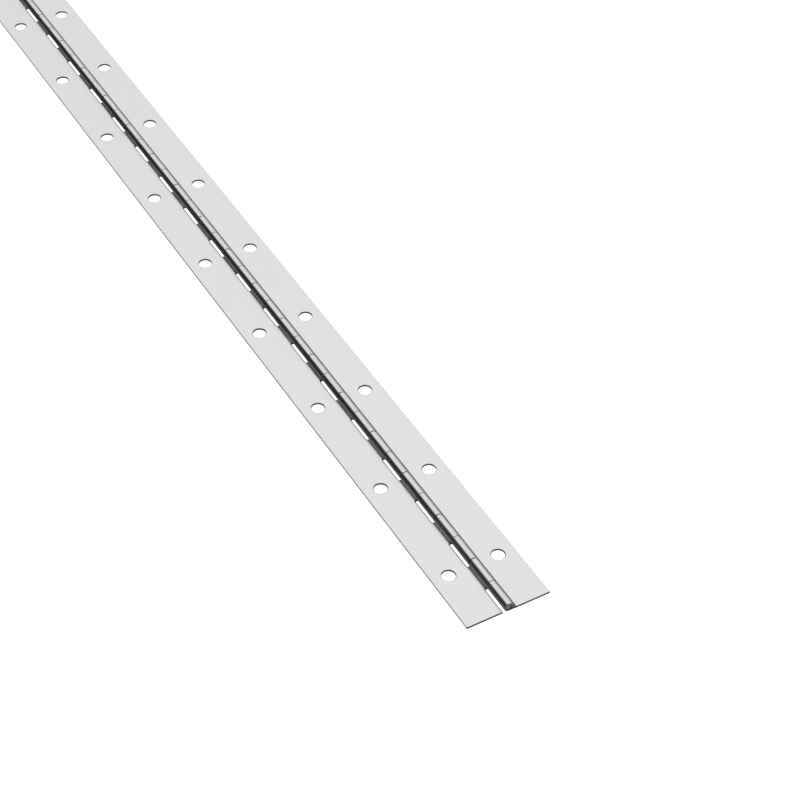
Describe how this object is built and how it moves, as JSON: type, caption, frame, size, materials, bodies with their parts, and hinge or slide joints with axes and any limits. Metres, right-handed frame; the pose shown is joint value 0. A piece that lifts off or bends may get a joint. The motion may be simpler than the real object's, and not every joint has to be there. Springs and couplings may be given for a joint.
{
  "type": "piano hinge",
  "caption": "Continuous piano hinge: sheet-steel leaves with rolled, interlocking knuckles that turn on a full-length pin, and a row of plain screw holes in each leaf.",
  "frame": {"origin": "middle of the back face at half length, directly below the pin, with the hinge open flat", "axes": "+X along the pin away from the first knuckle's end, +Y towards the left leaf, +Z out of the back, on the barrel side"},
  "size_m": [0.6, 0.035, 0.0039],
  "materials": {
    "leaf_sheet": "satin mill finish",
    "pin_wire": "drawn wire"
  },
  "bodies": {
    "fixed_leaf": {"right_leaf": "leaf_sheet", "hinge_pin": "pin_wire"},
    "swinging_leaf": {"left_leaf": "leaf_sheet"}
  },
  "joints": [
    {"name": "leaf_swing", "type": "hinge", "parent": "fixed_leaf", "child": "swinging_leaf", "pos_m": [0, 0, 0.00194], "axis": [1, 0, 0], "range_deg": [-90, 180]}
  ]
}
